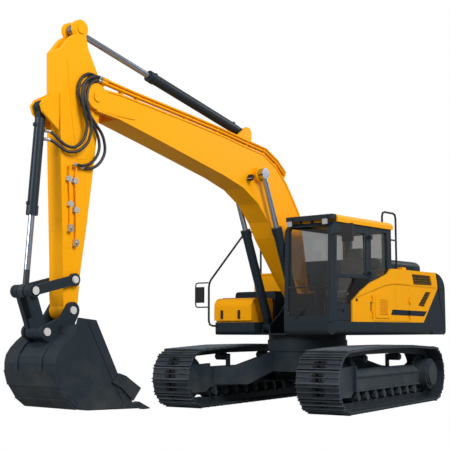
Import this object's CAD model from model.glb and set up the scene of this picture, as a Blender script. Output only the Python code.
import itertools
import math

import bmesh
import bpy
from mathutils import Matrix, Vector


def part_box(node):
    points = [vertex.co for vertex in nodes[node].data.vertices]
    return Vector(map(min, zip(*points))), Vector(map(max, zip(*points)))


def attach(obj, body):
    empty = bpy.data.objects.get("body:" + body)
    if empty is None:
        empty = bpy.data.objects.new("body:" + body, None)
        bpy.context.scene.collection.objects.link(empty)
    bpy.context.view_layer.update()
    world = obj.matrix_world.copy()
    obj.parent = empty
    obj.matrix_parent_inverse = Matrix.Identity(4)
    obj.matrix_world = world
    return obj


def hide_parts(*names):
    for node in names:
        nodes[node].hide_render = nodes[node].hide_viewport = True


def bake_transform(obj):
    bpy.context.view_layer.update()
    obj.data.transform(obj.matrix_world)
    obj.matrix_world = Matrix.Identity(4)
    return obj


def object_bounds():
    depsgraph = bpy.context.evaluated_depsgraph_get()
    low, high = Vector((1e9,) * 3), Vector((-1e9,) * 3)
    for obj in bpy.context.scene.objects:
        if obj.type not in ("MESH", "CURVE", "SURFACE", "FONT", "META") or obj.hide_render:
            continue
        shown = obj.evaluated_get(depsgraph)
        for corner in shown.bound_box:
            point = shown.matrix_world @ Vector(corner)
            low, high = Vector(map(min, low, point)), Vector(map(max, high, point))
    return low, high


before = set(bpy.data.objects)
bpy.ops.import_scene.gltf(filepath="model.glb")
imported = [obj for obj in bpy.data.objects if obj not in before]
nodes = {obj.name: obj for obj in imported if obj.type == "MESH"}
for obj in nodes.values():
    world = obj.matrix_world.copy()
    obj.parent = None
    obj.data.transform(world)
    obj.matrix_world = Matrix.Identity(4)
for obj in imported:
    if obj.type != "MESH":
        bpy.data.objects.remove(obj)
cad_low, cad_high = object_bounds()


# Studio. The machine stands on a pale floor before a white backdrop, under a broad soft lamp from the cab
# side, weaker ones from ahead and behind, and an even sky. The camera stands low, ahead of the cab.
class Wire:
    """A socket's value, so that shader sums are written as plain expressions."""

    def __init__(self, finish, socket):
        self.finish = finish
        self.socket = socket

    def _pair(self, operation, a, b):
        return self.finish.add("ShaderNodeMath", {"operation": operation}, {0: a, 1: b})

    def __add__(self, other):
        return self._pair("ADD", self, other)

    __radd__ = __add__

    def __sub__(self, other):
        return self._pair("SUBTRACT", self, other)

    def __rsub__(self, other):
        return self._pair("SUBTRACT", other, self)

    def __mul__(self, other):
        return self._pair("MULTIPLY", self, other)

    __rmul__ = __mul__

    def __pow__(self, other):
        return self._pair("POWER", self, other)

    def __gt__(self, other):
        return self._pair("GREATER_THAN", self, other)

    def __lt__(self, other):
        return self._pair("LESS_THAN", self, other)

    def least(self, other):
        return self._pair("MINIMUM", self, other)


class Finish:
    """A material with one shader, whose other nodes all come from add()."""

    GRAIN_ROUGH, EDGE_SAMPLES = 0.6, 4

    def __init__(self, name):
        self.material = bpy.data.materials.new(name)
        self.material.use_nodes = True
        self.tree = self.material.node_tree
        self.tree.nodes.clear()
        self.shader = self.tree.nodes.new("ShaderNodeBsdfPrincipled")
        self.end = self.tree.nodes.new("ShaderNodeOutputMaterial")
        self.tree.links.new(self.shader.outputs[0], self.end.inputs["Surface"])

    def add(self, kind, settings=None, inputs=None, out=0):
        node = self.tree.nodes.new(kind)
        for key, value in (settings or {}).items():
            setattr(node, key, value)
        for key, value in (inputs or {}).items():
            self.set(node.inputs[key], value)
        return Wire(self, node.outputs[out])

    def set(self, socket, value):
        if isinstance(value, Wire):
            self.tree.links.new(value.socket, socket)
        elif socket.type == "RGBA" and len(value) == 3:
            socket.default_value = (*value, 1)
        else:
            socket.default_value = value

    def give(self, **sockets):
        for key, value in sockets.items():
            self.set(self.shader.inputs[key.replace("_", " ")], value)

    def place(self):
        return self.add("ShaderNodeTexCoord", out="Object")

    def axis(self, name):
        return self.add("ShaderNodeSeparateXYZ", inputs={0: self.place()}, out=name)

    def noise(self, scale, detail):
        return self.add("ShaderNodeTexNoise", inputs={
            "Vector": self.place(), "Scale": scale, "Detail": detail, "Roughness": self.GRAIN_ROUGH})

    def step(self, value, low, high):
        return self.add("ShaderNodeMapRange", {"interpolation_type": "SMOOTHSTEP"},
                        {"Value": value, "From Min": low, "From Max": high})

    def mix(self, factor, a, b):
        return self.add("ShaderNodeMix", {"data_type": "RGBA"}, {0: factor, 6: a, 7: b}, out=2)

    def bump(self, height, distance, strength):
        inputs = {"Height": height, "Distance": distance, "Strength": strength}
        return self.add("ShaderNodeBump", inputs=inputs)

    def disc(self, centre, radius):
        """1 within radius of a point of the XZ plane, for pin ends and other round faces."""
        x, z = self.axis("X") - centre[0], self.axis("Z") - centre[1]
        return (x * x + z * z) < radius * radius

    def edge(self, radius):
        """How much the surface turns within radius, 0 on flats and towards 1 on edges."""
        soft = self.add("ShaderNodeBevel", {"samples": self.EDGE_SAMPLES}, {"Radius": radius})
        face = self.add("ShaderNodeNewGeometry", out="Normal")
        turn = self.add("ShaderNodeVectorMath", {"operation": "DOT_PRODUCT"}, {0: soft, 1: face}, out="Value")
        return 1 - turn

    def rubbed_edge(self, cloud, radius, least, low, high):
        """1 along rubbed edges, in patches that follow a cloud."""
        return self.step(self.edge(radius) * (least + cloud), low, high)


def set_down(name, mesh, *finishes):
    """Make a piece at the origin from a finished mesh."""
    piece = bpy.data.objects.new(name, bpy.data.meshes.new(name))
    mesh.to_mesh(piece.data)
    mesh.free()
    bpy.context.scene.collection.objects.link(piece)
    for finish in finishes:
        piece.data.materials.append(finish.material)
    return piece


FLOOR_SIZE, FLOOR_GREY, WHITE = 60.0, (0.3, 0.3, 0.3), (1, 1, 1)
floor_mesh = bmesh.new()
bmesh.ops.create_grid(floor_mesh, x_segments=1, y_segments=1, size=FLOOR_SIZE,
                      matrix=Matrix.Translation((0, 0, cad_low[2])))
pale = Finish("pale_floor")
pale.give(Base_Color=FLOOR_GREY, Roughness=0.9)
seen = pale.add("ShaderNodeLightPath", out="Is Camera Ray")
white = pale.add("ShaderNodeEmission", inputs={"Color": WHITE, "Strength": 1.0})
joined = pale.add("ShaderNodeMixShader", inputs={0: seen, 2: white})
pale.tree.links.new(pale.shader.outputs[0], joined.socket.node.inputs[1])
pale.tree.links.new(joined.socket, pale.end.inputs["Surface"])
set_down("floor", floor_mesh, pale)

SKY_LIGHT = 0.34
world = bpy.data.worlds.new("studio_sky")
bpy.context.scene.world = world
world.use_nodes = True
sky = world.node_tree
sky.nodes["Background"].inputs["Color"].default_value = (*WHITE, 1)
sky_path = sky.nodes.new("ShaderNodeLightPath")
seen_white = sky.nodes.new("ShaderNodeMapRange")
seen_white.inputs["To Min"].default_value = SKY_LIGHT
seen_white.inputs["To Max"].default_value = 1.0
sky.links.new(sky_path.outputs["Is Camera Ray"], seen_white.inputs["Value"])
sky.links.new(seen_white.outputs[0], sky.nodes["Background"].inputs["Strength"])

LAMPS = {
    "key": ((6.0, 12.0, 11.0), 7.0, 1850.0),
    "front": ((15.0, -2.0, 7.0), 6.0, 900.0),
    "rear": ((-9.0, 6.0, 9.0), 6.0, 420.0),
}
LAMP_AIM = Vector((1.5, 0.0, 2.0))
for lamp_name, (lamp_at, lamp_size, lamp_power) in LAMPS.items():
    lamp = bpy.data.lights.new(lamp_name, "AREA")
    lamp.size = lamp_size
    lamp.energy = lamp_power
    holder = bpy.data.objects.new(lamp_name, lamp)
    holder.location = lamp_at
    holder.rotation_euler = (LAMP_AIM - Vector(lamp_at)).to_track_quat("-Z", "Y").to_euler()
    bpy.context.scene.collection.objects.link(holder)

CAMERA_AT = (13.92, 9.72, 1.252)
CAMERA_YAW = 219.77
CAMERA_PITCH = 6.23
FOCAL_PX = 965.0
FRAME_PX = 450.0
SENSOR, VIEW_END = 36.0, 200.0
lens = bpy.data.cameras.new("camera")
lens.sensor_width = SENSOR
lens.lens = FOCAL_PX / FRAME_PX * SENSOR
lens.clip_end = VIEW_END
camera = bpy.data.objects.new("camera", lens)
camera.location = CAMERA_AT
camera.rotation_euler = (math.radians(90 + CAMERA_PITCH), 0, math.radians(CAMERA_YAW - 90))
bpy.context.scene.collection.objects.link(camera)
bpy.context.scene.camera = camera
bpy.context.scene.view_settings.view_transform = "Standard"


# Undercarriage. Welded steel boxes and castings, bolted together and sprayed in dark blue-grey paint, dusty
# towards the ground and rubbed paler along the edges.
DARK_PAINT, DUST = (0.013, 0.022, 0.03), (0.17, 0.145, 0.115)
DUST_FULL_SHARE, DUST_ROUGH = 0.2, 0.4
FLECK_SHARE, FLECK_LIFT, FLECK_ROUGH = 0.3, 1.5, 0.08
RUB_SHARE, RUB_LIFT = 0.35, 3.2


def wear_finish(finish, *node_names):
    """Give these CAD nodes one finish."""
    for node_name in node_names:
        nodes[node_name].data.materials.clear()
        nodes[node_name].data.materials.append(finish.material)


def lifted(colour, factor):
    """The colour made lighter, or darker, by a factor."""
    return tuple(c * factor for c in colour)


def dark_paint(name, dust_top, dust_most, roughness=0.42, lift=1.0):
    """Sprayed dark paint with fine flecks, dust that ends at a height and paler rubbed edges."""
    finish = Finish(name)
    height = finish.axis("Z")
    cloud = finish.noise(scale=3.0, detail=6.0)
    fine = finish.noise(scale=60.0, detail=3.0)
    near_ground = 1 - finish.step(height, low=dust_top * DUST_FULL_SHARE, high=dust_top)
    dust = near_ground * dust_most * finish.step(cloud, low=0.35, high=0.75)
    rub = finish.rubbed_edge(cloud, radius=0.012, least=0.6, low=0.06, high=0.25)
    plain = lifted(DARK_PAINT, lift)
    flecked = finish.mix(fine * FLECK_SHARE, plain, lifted(plain, FLECK_LIFT))
    dusty = finish.mix(dust, flecked, DUST)
    finish.tone = finish.mix(rub * RUB_SHARE, dusty, lifted(DARK_PAINT, RUB_LIFT))
    finish.rough = roughness + dust * DUST_ROUGH + fine * FLECK_ROUGH
    finish.give(Base_Color=finish.tone, Roughness=finish.rough, Specular_IOR_Level=0.22,
                Normal=finish.bump(fine, distance=0.0006, strength=0.5))
    return finish


undercarriage_paint = dark_paint("undercarriage_paint", dust_top=1.1, dust_most=0.3, lift=1.5)
wear_finish(undercarriage_paint, "car_body", "slew_ring", "track_frames", "sprockets", "idlers")

# Track shoes and rollers. Rolled and forged steel, left in a dark mill finish with a little paint on it, and
# rubbed bright along the grousers' edges.
SHOE_DARK, SHOE_LIGHT = (0.015, 0.023, 0.031), (0.036, 0.05, 0.064)
RUBBED_SHOE, SHOE_RUB_SHARE = (0.26, 0.3, 0.34), 0.7
track_steel = Finish("track_steel")
track_cloud = track_steel.noise(scale=5.0, detail=6.0)
track_fine = track_steel.noise(scale=90.0, detail=3.0)
track_rub = track_steel.rubbed_edge(track_cloud, radius=0.01, least=0.5, low=0.05, high=0.3)
track_tone = track_steel.mix(track_cloud, SHOE_DARK, SHOE_LIGHT)
track_steel.give(Base_Color=track_steel.mix(track_rub * SHOE_RUB_SHARE, track_tone, RUBBED_SHOE),
                 Metallic=0.4, Roughness=0.45 + track_fine * 0.25,
                 Normal=track_steel.bump(track_fine, distance=0.001, strength=0.6))
wear_finish(track_steel, "track_left", "track_right", "track_rollers")

# Shoe bolts. Eight forged hexagon bolts hold each shoe to its two links, four in each furrow between the
# grousers, and a punched hole in the middle of each furrow lets mud through.
HALF_BASE, LOOP_R, WHEEL_Z = 1.82, 0.438, 0.48
CARRIER_X, CARRIER_RISE = 0.72, 0.045
SHOES, TRACK_Y, HEADING = 49, 1.31, math.radians(8)
FURROWS, BOLT_YS = (-0.04, 0.04), (-0.095, -0.045, 0.045, 0.095)
BOLT_R, BOLT_TOP_R, BOLT_HIGH, PLATE_HIGH = 0.019, 0.01634, 0.014, 0.0135
HOLE_LONG, HOLE_WIDE, HOLE_HIGH = 0.15, 0.05, 0.002
BOLT_DARK, BOLT_LIGHT = (0.006, 0.006, 0.007), (0.02, 0.019, 0.018)
HOLE_DARK, HOLE_LIGHT = (0.001, 0.001, 0.001), (0.004, 0.004, 0.004)
SLOPE = math.hypot(HALF_BASE - CARRIER_X, CARRIER_RISE)
LEAN = math.atan2(CARRIER_RISE, HALF_BASE - CARRIER_X)
RUNS = (2 * HALF_BASE, math.pi * LOOP_R, SLOPE, 2 * CARRIER_X, SLOPE, math.pi * LOOP_R)


def shoe_place(s):
    """The loop's point and turn after a length s from the lower rear."""
    high = WHEEL_Z + LOOP_R
    for run, length in enumerate(RUNS):
        if s < length:
            break
        s -= length
    a, k = s / LOOP_R, s / SLOPE
    along = k * (HALF_BASE - CARRIER_X)
    places = (
        (s - HALF_BASE, WHEEL_Z - LOOP_R, 0.0),
        (HALF_BASE + LOOP_R * math.sin(a), WHEEL_Z - LOOP_R * math.cos(a), a),
        (HALF_BASE - along, high + k * CARRIER_RISE, math.pi - LEAN),
        (CARRIER_X - s, high + CARRIER_RISE, math.pi),
        (-CARRIER_X - along, high + (1 - k) * CARRIER_RISE, math.pi + LEAN),
        (-HALF_BASE - LOOP_R * math.sin(a), WHEEL_Z + LOOP_R * math.cos(a), math.pi + a),
    )
    return places[run]


bolt_steel = Finish("bolt_steel")
bolt_grain = bolt_steel.noise(scale=40.0, detail=4.0)
bolt_tone = bolt_steel.mix(bolt_grain, BOLT_DARK, BOLT_LIGHT)
bolt_steel.give(Base_Color=bolt_tone, Metallic=0.3, Roughness=0.5 + bolt_grain * 0.2)
hole_shade = Finish("hole_shade")
hole_mud = hole_shade.noise(scale=30.0, detail=4.0)
hole_shade.give(Base_Color=hole_shade.mix(hole_mud, HOLE_DARK, HOLE_LIGHT), Roughness=0.8 + hole_mud * 0.2,
                Specular_IOR_Level=0.05)
for track_name, track_side in (("left", 1), ("right", -1)):
    bolts = bmesh.new()
    for shoe in range(SHOES):
        loop_x, loop_z, loop_turn = shoe_place((shoe + 0.5) * sum(RUNS) / SHOES)
        stand = Matrix.Rotation(HEADING, 4, "Z") @ Matrix.Translation((loop_x, track_side * TRACK_Y, loop_z))
        stand = stand @ Matrix.Rotation(-loop_turn, 4, "Y") @ Matrix.Rotation(math.pi, 4, "X")
        for u, y in itertools.product(FURROWS, BOLT_YS):
            spot = Matrix.Translation((u, y, PLATE_HIGH + BOLT_HIGH / 2))
            bmesh.ops.create_cone(bolts, cap_ends=True, segments=6, radius1=BOLT_R, radius2=BOLT_TOP_R,
                                  depth=BOLT_HIGH, matrix=stand @ spot)
        for u in FURROWS:
            size = Matrix.Diagonal((HOLE_WIDE, HOLE_LONG, HOLE_HIGH, 1))
            spot = Matrix.Translation((u, 0, PLATE_HIGH + HOLE_HIGH / 2)) @ size
            hole = bmesh.ops.create_cube(bolts, size=1, matrix=stand @ spot)
            for face in {face for vert in hole["verts"] for face in vert.link_faces}:
                face.material_index = 1
    bolt_piece = set_down("shoe_bolts_" + track_name, bolts, bolt_steel, hole_shade)
    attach(bolt_piece, "undercarriage")


# Upper structure. A welded steel deck with a dark skirt carries the tank, the middle wall, the pressed engine
# hood and the cab's shell and visor, all bolted down and sprayed in the same dark paint.
deck_paint = dark_paint("deck_paint", dust_top=0.4, dust_most=0.1, roughness=0.36)
wear_finish(deck_paint, "revolving_frame", "right_tank", "middle_wall", "engine_hood", "cab_shell",
            "cab_visor")

# Counterweight. One iron casting on the tail's radius, with a large rounded shoulder all along it, a cheek
# under each side panel and a cast parting line at half its height.
TAIL_R, SIDE_Y, PANEL_T = 2.8497, 1.3703, 0.0303
WEIGHT_FRONT, SHOULDER_R, FOOT_R = -1.9903, 0.3, 0.08
PARTING_Z, PARTING_HALF = 2.005, (0.004, 0.008)
PARTING_SHADE, PARTING_SHARE = (0.004, 0.005, 0.006), 0.8
TAIL_POINTS, ROUND_POINTS, CHEEK_LAP, CHEEK_DEEP = 36, 8, 0.001, 0.15
weight_low, weight_high = (corner[2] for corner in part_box("counterweight"))
round_turns = [math.pi / 2 * k / ROUND_POINTS for k in range(ROUND_POINTS + 1)]
weight_layers = [(weight_low + FOOT_R * (1 - math.cos(a)), FOOT_R * (1 - math.sin(a))) for a in round_turns]
weight_layers += [(weight_high - SHOULDER_R * (1 - math.sin(a)), SHOULDER_R * (1 - math.cos(a)))
                  for a in round_turns]
PANEL_EDGE = ((WEIGHT_FRONT, weight_low), (WEIGHT_FRONT, 1.759), (-2.216, 2.013), (-2.19, weight_high))
CHEEK = ((-1.668, 1.3905), (WEIGHT_FRONT, 1.7525), (WEIGHT_FRONT, 1.3905))


def tail_x(inset, y):
    """The tail's surface at y, drawn in by inset."""
    return -math.sqrt((TAIL_R - inset) ** 2 - y * y)


def loft(mesh, rings):
    """Closed form through rings of points, capped at both ends, with its faces outwards."""
    loops = [[mesh.verts.new(point) for point in ring] for ring in rings]
    for a, b in zip(loops, loops[1:]):
        for k in range(len(a)):
            mesh.faces.new((a[k - 1], a[k], b[k], b[k - 1]))
    mesh.faces.new(loops[0])
    mesh.faces.new(loops[-1])
    bmesh.ops.recalc_face_normals(mesh, faces=mesh.faces)


weight = bmesh.new()
core_y = SIDE_Y - PANEL_T
tail_ys = [core_y * (2 * k / TAIL_POINTS - 1) for k in range(TAIL_POINTS + 1)]
loft(weight, [[(WEIGHT_FRONT, -core_y, z), *((tail_x(inset, y), y, z) for y in tail_ys),
               (WEIGHT_FRONT, core_y, z)] for z, inset in weight_layers])
for side in (-1, 1):
    loft(weight, [[*((x, side * y, z) for x, z in PANEL_EDGE),
                   *((tail_x(inset, y), side * y, z) for z, inset in reversed(weight_layers))]
                  for y in (core_y - CHEEK_LAP, SIDE_Y)])
    loft(weight, [[(x, side * y, z) for x, z in CHEEK] for y in (SIDE_Y - CHEEK_DEEP, SIDE_Y)])
weight_paint = dark_paint("weight_paint", dust_top=0.4, dust_most=0.1, roughness=0.4)
from_parting = ((weight_paint.axis("Z") - PARTING_Z) ** 2) ** 0.5
parting = 1 - weight_paint.step(from_parting, *PARTING_HALF)
weight_paint.give(Base_Color=weight_paint.mix(parting * PARTING_SHARE, weight_paint.tone, PARTING_SHADE))
weight_piece = set_down("weight_casting", weight, weight_paint)
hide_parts("counterweight")
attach(weight_piece, "upper")

# Side panels and doors. Pressed sheet steel, sprayed in machine yellow over a primer, which shows paler along
# rubbed edges. Bolts and hinges hold the sheets to the deck's frame.
YELLOW_PAINT, RUBBED_YELLOW = (0.95, 0.4, 0.0015), (0.95, 0.5, 0.06)
YELLOW_DEEP, YELLOW_LIGHT = lifted(YELLOW_PAINT, 0.95), lifted(YELLOW_PAINT, 1.05)
YELLOW_CLOUD_SHARE, YELLOW_RUB_SHARE = 0.6, 0.2


def yellow_paint(name):
    """Sprayed machine yellow, faintly clouded, with a fine grain and paler rubbed edges."""
    finish = Finish(name)
    cloud = finish.noise(scale=1.6, detail=5.0)
    finish.fine = finish.noise(scale=120.0, detail=2.0)
    tone = finish.mix(cloud * YELLOW_CLOUD_SHARE, YELLOW_DEEP, YELLOW_LIGHT)
    rub = finish.rubbed_edge(cloud, radius=0.008, least=0.6, low=0.08, high=0.3)
    finish.tone = finish.mix(rub * YELLOW_RUB_SHARE, tone, RUBBED_YELLOW)
    finish.give(Base_Color=finish.tone, Roughness=0.36 + cloud * 0.1, Specular_IOR_Level=0.1,
                Coat_Weight=0.03, Coat_Roughness=0.2,
                Normal=finish.bump(finish.fine, distance=0.0004, strength=0.4))
    return finish


machine_yellow = yellow_paint("machine_yellow")
wear_finish(machine_yellow, "right_panel", "pump_door", "toolbox", "toolbox_lid", "cab_roof")

# The cab side's sheets carry a dark painted band above the skirt, and a pressed crease that climbs from
# the cab and runs level to the tail.
BAND_LOW, BAND_HIGH = (1.517, 0.0112), (1.6127, 0.0131)
BAND_REAR, BAND_FRONT = (-1.674, -1.275, 1.498), (-0.514, -0.564, 1.511)
CREASE = ((2.0488, 0.0139), (1.9206, -0.2506), (1.9642, -0.1196))
CREASE_HALF, CREASE_DEEP, PANEL_GRAIN_SHARE = 0.016, 0.012, 0.03
side_yellow = yellow_paint("side_yellow")
side_x, side_z = side_yellow.axis("X"), side_yellow.axis("Z")
above_low = side_z > BAND_LOW[0] + side_x * BAND_LOW[1]
below_high = side_z < BAND_HIGH[0] + side_x * BAND_HIGH[1]
after_rear = side_x > BAND_REAR[0] + (side_z - BAND_REAR[2]) * BAND_REAR[1]
before_front = side_x < BAND_FRONT[0] + (side_z - BAND_FRONT[2]) * BAND_FRONT[1]
band = above_low * below_high * after_rear * before_front
level, steep, shallow = (rise + side_x * slope for rise, slope in CREASE)
crease_z = level.least(steep).least(shallow)
pressed = side_yellow.step(side_z - crease_z, low=-CREASE_HALF, high=CREASE_HALF)
relief = pressed + side_yellow.fine * PANEL_GRAIN_SHARE
side_yellow.give(Base_Color=side_yellow.mix(band, side_yellow.tone, DARK_PAINT),
                 Normal=side_yellow.bump(relief, distance=CREASE_DEEP, strength=0.8))
wear_finish(side_yellow, "left_panel", "louvre_door", "cooler_door")

# Engine. One rough block of cast iron under the hood, bolted to the deck, oily and unpainted.
# It only shows when the hood or a side door is open.
IRON_DARK, IRON_LIGHT = (0.03, 0.03, 0.03), (0.07, 0.068, 0.062)
engine_iron = Finish("engine_iron")
engine_grain = engine_iron.noise(scale=80.0, detail=4.0)
engine_iron.give(Base_Color=engine_iron.mix(engine_grain, IRON_DARK, IRON_LIGHT), Roughness=0.7,
                 Normal=engine_iron.bump(engine_grain, distance=0.002, strength=0.6))
wear_finish(engine_iron, "engine_block")


# Cab windows. Lightly tinted safety glass, set into the cab's steel shell and door with black rubber, and a
# little hazy with dust and wiping.
GLASS_TINT = (0.835, 0.845, 0.84)
clear_glass = Finish("cab_window")
glass_film = clear_glass.noise(scale=2.0, detail=4.0)
clear_glass.give(Base_Color=GLASS_TINT, Roughness=0.02 + glass_film * 0.03, IOR=1.45,
                 Transmission_Weight=1.0)
wear_finish(clear_glass, "cab_glass", "door_glass")

# Cab door. A pressed steel frame in the deck's paint, hung on two hinges. Its lower pane has a wide black
# printed edge that reaches back to the yellow panel.
EDGE_RISE, EDGE_FRONT, EDGE_BLACK, EDGE_GLOSS_SHARE = (0.27, 0.69), 0.1, (0.003, 0.003, 0.0035), 0.6
door_low, door_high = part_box("cab_door")
door_paint = dark_paint("door_paint", dust_top=0.4, dust_most=0.1, roughness=0.36)
door_x, door_z = door_paint.axis("X"), door_paint.axis("Z")
black_edge = (door_z > door_low[2] + EDGE_RISE[0]) * (door_z < door_low[2] + EDGE_RISE[1])
black_edge = black_edge * (door_x < door_high[0] - EDGE_FRONT)
door_paint.give(Base_Color=door_paint.mix(black_edge, door_paint.tone, EDGE_BLACK),
                Roughness=door_paint.rough * (1 - black_edge * EDGE_GLOSS_SHARE))
wear_finish(door_paint, "cab_door")

# Trim. Consoles, wiper, mirrors and rails in grained black plastic and powder coat, bronze bars in the side
# grilles, and a rubber mat on the toolbox lid. They are screwed or clipped on.
PLASTIC_BLACK, BAR_BRONZE, RUBBER_BLACK = (0.012, 0.012, 0.013), (0.1, 0.06, 0.014), (0.01, 0.01, 0.01)
SCUFF_LIFT, SCUFF_GREY = 1.7, 0.004


def moulded(name, colour, roughness):
    """Grained plastic, powder coat or rubber, scuffed a little paler in clouds."""
    finish = Finish(name)
    grain = finish.noise(scale=220.0, detail=3.0)
    cloud = finish.noise(scale=6.0, detail=4.0)
    scuffed = tuple(c * SCUFF_LIFT + SCUFF_GREY for c in colour)
    finish.give(Base_Color=finish.mix(cloud, colour, scuffed), Roughness=roughness + grain * 0.15,
                Specular_IOR_Level=0.3, Normal=finish.bump(grain, distance=0.0006, strength=0.6))
    return finish


black_plastic = moulded("black_plastic", PLASTIC_BLACK, roughness=0.42)
wear_finish(black_plastic, "controls", "handrails", "mirrors", "cab_trim")
wear_finish(moulded("grille_bronze", BAR_BRONZE, roughness=0.5), "side_grilles")
black_rubber = moulded("black_rubber", RUBBER_BLACK, roughness=0.6)
wear_finish(black_rubber, "lid_rubber")

# Work lamps. Square moulded black housings with a clear ribbed lens over a bright bowl, bolted to the roof's
# front edge and to the boom.
LENS_T, LENS_RIBS = 0.006, 20.0
HOUSING_BLACK, BOWL_DARK, BOWL_LIGHT = (0.013, 0.013, 0.014), (0.3, 0.31, 0.32), (0.5, 0.51, 0.52)


def lamp_finish(name, node):
    """A black housing whose front face is the lens."""
    _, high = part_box(node)
    finish = moulded(name, PLASTIC_BLACK, roughness=0.4)
    lens_face = finish.axis("X") > high[0] - LENS_T
    across = {"Vector": finish.place(), "Scale": LENS_RIBS}
    ribs = finish.add("ShaderNodeTexWave", {"bands_direction": "Z"}, across)
    bowl = finish.mix(ribs, BOWL_DARK, BOWL_LIGHT)
    finish.give(Base_Color=finish.mix(lens_face, HOUSING_BLACK, bowl))
    wear_finish(finish, node)


lamp_finish("roof_lamp", "work_lamps")
lamp_finish("boom_lamp_lens", "boom_lamp")

# Seat. A cushion, a back and a headrest of foam under woven cloth, sewn in channels that hold the cloth down,
# on a sprung foot.
WEAVE_SCALE, CLOTH_DARK, CLOTH_LIGHT = 120.0, (0.045, 0.052, 0.05), (0.09, 0.1, 0.097)
seat_cloth = Finish("seat_cloth")
weave = seat_cloth.add("ShaderNodeTexWave", {"wave_type": "BANDS", "bands_direction": "DIAGONAL"},
                       {"Vector": seat_cloth.place(), "Scale": WEAVE_SCALE})
seat_cloth.give(Base_Color=seat_cloth.mix(weave, CLOTH_DARK, CLOTH_LIGHT), Roughness=0.9, Sheen_Weight=0.3,
                Normal=seat_cloth.bump(weave, distance=0.001, strength=0.6))
SEAT_X, SEAT_MID = 0.175, 0.8875
SEAT_PADS = {
    "seat_cushion": ((SEAT_X, SEAT_MID, 1.845), (0.255, 0, 0), (0, 0.25, 0), (0, 0, 0.065)),
    "seat_back": ((-0.095, SEAT_MID, 2.17), (-0.07, 0, 0.325), (0, 0.25, 0), (0.055, 0, 0)),
    "seat_headrest": ((-0.176, SEAT_MID, 2.545), (0, 0, 0.1), (0, 0.14, 0), (0.055, 0, 0)),
}
PAD_CUTS, PAD_FILL = 11, 0.8
CHANNEL_AT, CHANNEL_WIDE, CHANNEL_DEEP = 0.55, 0.07, 0.16
RIM_THIN, SIDE_IN, CORNER_IN = 0.38, 0.035, 0.06


def padded_form(name, centre, *axes):
    """A crowned closed pad: thin at its rim, drawn in between its corners, with two sewn channels."""
    mesh = bmesh.new()
    bmesh.ops.create_cube(mesh, size=2.0)
    bmesh.ops.subdivide_edges(mesh, edges=mesh.edges, cuts=PAD_CUTS, use_grid_fill=True)
    for vert in mesh.verts:
        u, v, w = vert.co
        rim = max(abs(u), abs(v))
        channel = math.exp(-(((abs(v) - CHANNEL_AT) / CHANNEL_WIDE) ** 2)) * max(w, 0)
        thick = w * (1 - RIM_THIN * rim**4 - CHANNEL_DEEP * channel)
        wide, deep = v * (1 - SIDE_IN * (1 - u * u)), u * (1 - SIDE_IN * (1 - v * v))
        rounder = 1 - CORNER_IN * (u * v) ** 2
        along = (deep * rounder, wide * rounder, thick)
        vert.co = Vector(centre) + sum((k * Vector(a) for k, a in zip(along, axes)), Vector())
    for face in mesh.faces:
        face.smooth = True
    pad = set_down(name, mesh, seat_cloth)
    rounding = pad.modifiers.new("rounding", "SUBSURF")
    rounding.levels = rounding.render_levels = 1
    return pad


for pad_name, (pad_centre, *pad_axes) in SEAT_PADS.items():
    pad = padded_form(pad_name, pad_centre, *pad_axes)
    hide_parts("seat")
    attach(pad, "upper")

# Seat foot. A sprung scissor frame inside a moulded rubber boot, which folds like a bellows and is clipped to
# the cab's floor and to the seat's pan.
BOOT_HALF, BOOT_CORNERS = (0.205, 0.2), ((-1, -1), (1, -1), (1, 1), (-1, 1))
BOOT_LOW, BOOT_HIGH, BOOT_FOLDS, FOLD_DEEP = 1.45, 1.8, 7, 0.022
boot_rings = []
for fold in range(2 * BOOT_FOLDS + 1):
    boot_in = FOLD_DEEP * (fold % 2)
    boot_z = BOOT_LOW + (BOOT_HIGH - BOOT_LOW) * fold / (2 * BOOT_FOLDS)
    boot_x, boot_y = BOOT_HALF[0] - boot_in, BOOT_HALF[1] - boot_in
    boot_rings.append([(SEAT_X + a * boot_x, SEAT_MID + b * boot_y, boot_z) for a, b in BOOT_CORNERS])
boot = bmesh.new()
loft(boot, boot_rings)
seat_boot = set_down("seat_boot", boot, black_rubber)
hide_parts("seat")
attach(seat_boot, "upper")


# Work equipment. Box-section boom and arm in machine yellow, dark links and bucket, and rams with dark
# barrels and hard chrome rods. Pins at the bucket's end show bright greased ends.
wear_finish(machine_yellow, "boom", "boom_pipes")
TOOL_DUST_TOP, TOOL_DUST = 1.4, 0.2
PIN_STEEL, PIN_R = (0.62, 0.61, 0.59), 0.052
TIP_PIN, GUIDE_PIN, PUSH_PIN, ROD_PIN = (5.5481, 1.5089), (5.5154, 1.9072), (5.9742, 1.2312), (6.175, 1.7453)
PINS = {"arm": (TIP_PIN, GUIDE_PIN), "bucket": (PUSH_PIN, TIP_PIN), "guide_links": (ROD_PIN, GUIDE_PIN)}


def bright_pins(finish, node):
    """Give a node the finish, with the ends of its pins bare."""
    tone = finish.tone
    for centre in PINS[node]:
        tone = finish.mix(finish.disc(centre, PIN_R), tone, PIN_STEEL)
    finish.give(Base_Color=tone)
    wear_finish(finish, node)


bright_pins(yellow_paint("arm_yellow"), "arm")
ram_paint = dark_paint("ram_paint", dust_top=0.5, dust_most=0.1, roughness=0.34)
wear_finish(ram_paint, "boom_barrel_left", "boom_barrel_right", "arm_barrel", "bucket_barrel")
tool_paint = dark_paint("tool_paint", dust_top=TOOL_DUST_TOP, dust_most=TOOL_DUST)
wear_finish(tool_paint, "bucket_teeth", "push_link")
for pinned in ("bucket", "guide_links"):
    bright_pins(dark_paint(pinned + "_paint", dust_top=TOOL_DUST_TOP, dust_most=TOOL_DUST), pinned)

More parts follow.
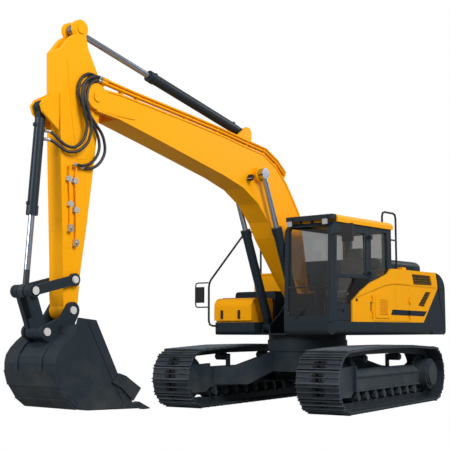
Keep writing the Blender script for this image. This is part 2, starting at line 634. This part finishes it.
# Bucket roof. A bent steel plate, welded in, closes the wrapper between the ears and the side plates, below
# the arm's end.
ROOF_LINE = ((0.236, -0.302), (0.198, -0.19), (0.04, -0.205), (-0.11, -0.175))
ROOF_HALF, ROOF_INWARD = 0.478, Vector((-0.014, 0, -0.02))
roof = bmesh.new()
roof_line = [Vector((TIP_PIN[0] + x, 0, TIP_PIN[1] + z)) for x, z in ROOF_LINE]
roof_inner = [point + ROOF_INWARD for point in roof_line]
loft(roof, [[point + Vector((0, y, 0)) for point in (*roof_line, *reversed(roof_inner))]
            for y in (-ROOF_HALF, ROOF_HALF)])
bucket_roof = set_down("bucket_roof", roof, tool_paint)
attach(bucket_roof, "bucket")

# Arm pipes. Drawn steel pipes in machine yellow, held to the arm by zinc-plated clamps and closed by
# zinc-plated stop valves, which are screwed onto their ends.
ZINC, ZINC_LIGHT = (0.42, 0.42, 0.4), (0.6, 0.6, 0.58)
NOSE, ARM_WAY, CLAMP_R = Vector((5.1829, 4.4)), Vector((0.3652, -2.891)), 0.046
CLAMPS = ((0.42, 0.1), (0.53, 0.075), (0.42, 0.064), (0.55, 0.04))
zinc_plate = Finish("zinc_plate")
zinc_spangle = zinc_plate.noise(scale=45.0, detail=3.0)
zinc_plate.give(Base_Color=zinc_plate.mix(zinc_spangle, ZINC, ZINC_LIGHT), Metallic=0.9,
                Roughness=0.3 + zinc_spangle * 0.2)
wear_finish(zinc_plate, "stop_valves")
pipe_yellow = yellow_paint("pipe_yellow")
pipe_tone = pipe_yellow.tone
for ahead, beside in CLAMPS:
    clamp_at = NOSE + ahead * ARM_WAY + beside * Vector((-ARM_WAY.y, ARM_WAY.x))
    pipe_tone = pipe_yellow.mix(pipe_yellow.disc(clamp_at, CLAMP_R), pipe_tone, ZINC)
pipe_yellow.give(Base_Color=pipe_tone)
wear_finish(pipe_yellow, "arm_pipes")

# Rods. Ground steel bars under hard chrome, filmed with oil, which slide in the rams' barrels and turn on a
# pin at their eye.
CHROME_DARK, CHROME_LIGHT = (0.4, 0.45, 0.56), (0.48, 0.53, 0.64)


def hard_chrome(name):
    """Polished chrome, a little uneven under its film of oil."""
    finish = Finish(name)
    film = finish.noise(scale=14.0, detail=4.0)
    finish.tone = finish.mix(film, CHROME_DARK, CHROME_LIGHT)
    finish.rough = 0.14 + film * 0.12
    finish.give(Base_Color=finish.tone, Metallic=1.0, Roughness=finish.rough)
    return finish


rod_chrome = hard_chrome("rod_chrome")
wear_finish(rod_chrome, "boom_rod_left", "boom_rod_right", "arm_rod")

# Bucket ram's rod. The same chromed bar, screwed into a forged eye with a long neck, which are painted dark
# with the links beside them.
NECK_LEN, NECK_ROUGH = 0.27, 0.25
neck_rod = hard_chrome("neck_rod")
neck = neck_rod.disc(ROD_PIN, NECK_LEN)
neck_rod.give(Base_Color=neck_rod.mix(neck, neck_rod.tone, DARK_PAINT), Metallic=1 - neck,
              Roughness=neck_rod.rough + neck * NECK_ROUGH)
wear_finish(neck_rod, "bucket_rod")

# Rod tails. Inside its barrel each chromed rod runs on to the piston, so that it stays in the barrel at the
# end of its stroke.
TAIL_LAP, TAIL_LESS, TAIL_CHAMFER, TAIL_SIDES = 0.02, 0.0006, 0.012, 32
BOOM_RAM_WAY = (0.376894, 0, 0.926256)
ROD_TAILS = {
    "boom_rod_left": ((0.66, 0.325, 1.31), BOOM_RAM_WAY, 1.22, 1.6, 0.044),
    "boom_rod_right": ((0.66, -0.325, 1.31), BOOM_RAM_WAY, 1.22, 1.6, 0.044),
    "arm_rod": ((1.79918, 0, 4.44879), (0.973589, 0, 0.228308), 1.64, 2.06, 0.044),
    "bucket_rod": ((5.98201, 0, 4.14258), (0.080247, 0, -0.996775), 0.8, 1.22, 0.04),
}
for rod, (base, heading, inner, outer, rod_radius) in ROD_TAILS.items():
    tail = bmesh.new()
    tail_len, tail_r = outer + TAIL_LAP - inner, rod_radius - TAIL_LESS
    aim = Vector(heading).to_track_quat("Z", "Y").to_matrix().to_4x4()
    middle = Vector(base) + Vector(heading) * (inner + tail_len / 2)
    bmesh.ops.create_cone(tail, cap_ends=True, segments=TAIL_SIDES, radius1=tail_r, radius2=tail_r,
                          depth=tail_len, matrix=Matrix.Translation(middle) @ aim)
    ends = [edge for edge in tail.edges if any(len(face.verts) > 4 for face in edge.link_faces)]
    bmesh.ops.bevel(tail, geom=ends, offset=TAIL_CHAMFER, offset_type="OFFSET", affect="EDGES", segments=2,
                    profile=0.5, material=-1)
    tail_piece = set_down(rod + "_tail", tail, rod_chrome)
    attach(tail_piece, rod)


# Hoses. Four steel-braided rubber hoses, crimped to fittings, carry the oil over the boom's nose to the
# arm: two drop to the bucket ram, two to the arm's own pipes. They hang in stiff loops and bend at the pin.
HOSE_R, HOSE_SIDES, HOSE_STEPS = 0.02, 16, 6
FERRULE_R, FERRULE_STEPS = 0.0225, 9
HOSE_DARK, HOSE_LIGHT, WRAP_SCALE = (0.008, 0.008, 0.008), (0.018, 0.018, 0.018), 60.0
TO_BUCKET_RAM = ("hose_1", "hose_2")
ROUTES = {
    "hose_1": (
        (5.0995, 0.216, 4.6632), (5.139, 0.216, 4.6683), (5.23, 0.219, 4.665), (5.34, 0.226, 4.624),
        (5.446, 0.236, 4.54), (5.49, 0.244, 4.4), (5.476, 0.246, 4.235), (5.424, 0.246, 4.06),
        (5.402, 0.242, 3.924), (5.462, 0.232, 3.748), (5.59, 0.218, 3.645), (5.7, 0.19, 3.65),
        (5.79, 0.15, 3.715), (5.85, 0.112, 3.785), (5.904, 0.077, 3.822), (5.952, 0.041, 3.826),
    ),
    "hose_2": (
        (5.1245, 0.216, 4.6153), (5.164, 0.216, 4.6204), (5.24, 0.228, 4.61), (5.33, 0.248, 4.56),
        (5.4, 0.262, 4.47), (5.432, 0.27, 4.35), (5.418, 0.272, 4.21), (5.366, 0.27, 4.06),
        (5.346, 0.264, 3.905), (5.396, 0.252, 3.722), (5.54, 0.226, 3.598), (5.68, 0.19, 3.575),
        (5.78, 0.15, 3.63), (5.85, 0.112, 3.685), (5.913, 0.077, 3.712), (5.961, 0.041, 3.716),
    ),
    "hose_3": (
        (5.0995, 0.172, 4.6632), (5.139, 0.172, 4.6683), (5.225, 0.175, 4.69), (5.325, 0.177, 4.69),
        (5.43, 0.178, 4.63), (5.5, 0.184, 4.51), (5.505, 0.186, 4.37), (5.44, 0.19, 4.23),
        (5.34, 0.192, 4.098), (5.215, 0.194, 3.956), (5.14, 0.194, 3.804), (5.135, 0.192, 3.667),
        (5.21, 0.2, 3.54), (5.32, 0.206, 3.455), (5.43, 0.205, 3.42), (5.5, 0.203, 3.418),
        (5.5605, 0.203, 3.4197), (5.6004, 0.203, 3.417),
    ),
    "hose_4": (
        (5.1245, 0.172, 4.6153), (5.164, 0.172, 4.6204), (5.24, 0.173, 4.622), (5.32, 0.175, 4.59),
        (5.385, 0.176, 4.51), (5.42, 0.184, 4.4), (5.4, 0.19, 4.27), (5.33, 0.196, 4.15),
        (5.23, 0.204, 4.03), (5.11, 0.214, 3.9), (5.06, 0.22, 3.77), (5.055, 0.218, 3.64),
        (5.12, 0.21, 3.51), (5.22, 0.192, 3.425), (5.32, 0.172, 3.398), (5.4015, 0.163, 3.4024),
        (5.4394, 0.163, 3.4117),
    ),
}


def smooth_route(points):
    """Points of a Catmull-Rom curve through the route."""
    knots = [Vector(p) for p in points]
    knots = [2 * knots[0] - knots[1], *knots, 2 * knots[-1] - knots[-2]]
    route = []
    for a, b, c, d in zip(knots, knots[1:], knots[2:], knots[3:]):
        for k in range(HOSE_STEPS):
            t = k / HOSE_STEPS
            route.append(0.5 * (2 * b + (c - a) * t + (2 * a - 5 * b + 4 * c - d) * t**2
                                + (3 * b - a - 3 * c + d) * t**3))
    return [*route, knots[-2]]


def tube_piece(name, route, radius, finish):
    """A closed round tube along the route, smooth but for its two flat ends."""
    turns = [2 * math.pi * k / HOSE_SIDES for k in range(HOSE_SIDES)]
    across = Vector((0, 1, 0))
    rings = []
    for i, point in enumerate(route):
        ahead = (route[min(i + 1, len(route) - 1)] - route[max(i - 1, 0)]).normalized()
        side = ahead.cross(across).normalized()
        across = side.cross(ahead).normalized()
        rings.append([point + radius * (math.cos(a) * side + math.sin(a) * across) for a in turns])
    mesh = bmesh.new()
    loft(mesh, rings)
    for face in mesh.faces:
        face.smooth = len(face.verts) < HOSE_SIDES
    return set_down(name, mesh, finish)


hose_rubber = Finish("hose_rubber")
hose_grain = hose_rubber.noise(scale=160.0, detail=3.0)
hose_wrap = hose_rubber.add("ShaderNodeTexWave", {"bands_direction": "DIAGONAL"},
                            {"Vector": hose_rubber.place(), "Scale": WRAP_SCALE})
hose_rubber.give(Base_Color=hose_rubber.mix(hose_grain, HOSE_DARK, HOSE_LIGHT),
                 Roughness=0.42 + hose_grain * 0.15,
                 Normal=hose_rubber.bump(hose_wrap, distance=0.0006, strength=0.5))
for hose_name, hose_points in ROUTES.items():
    hose_route = smooth_route(hose_points)
    hose = tube_piece(hose_name + "_rubber", hose_route, HOSE_R, hose_rubber)
    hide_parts(hose_name)
    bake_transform(hose)
    far_body = "bucket_barrel" if hose_name in TO_BUCKET_RAM else "arm"
    spans = {"boom": hose_route[:FERRULE_STEPS], far_body: hose_route[-FERRULE_STEPS:]}
    for body, span in spans.items():
        ferrule = tube_piece(hose_name + "_ferrule_" + body, span, FERRULE_R, zinc_plate)
        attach(ferrule, body)
    hose_length = sum((b - a).length for a, b in zip(hose_route, hose_route[1:]))
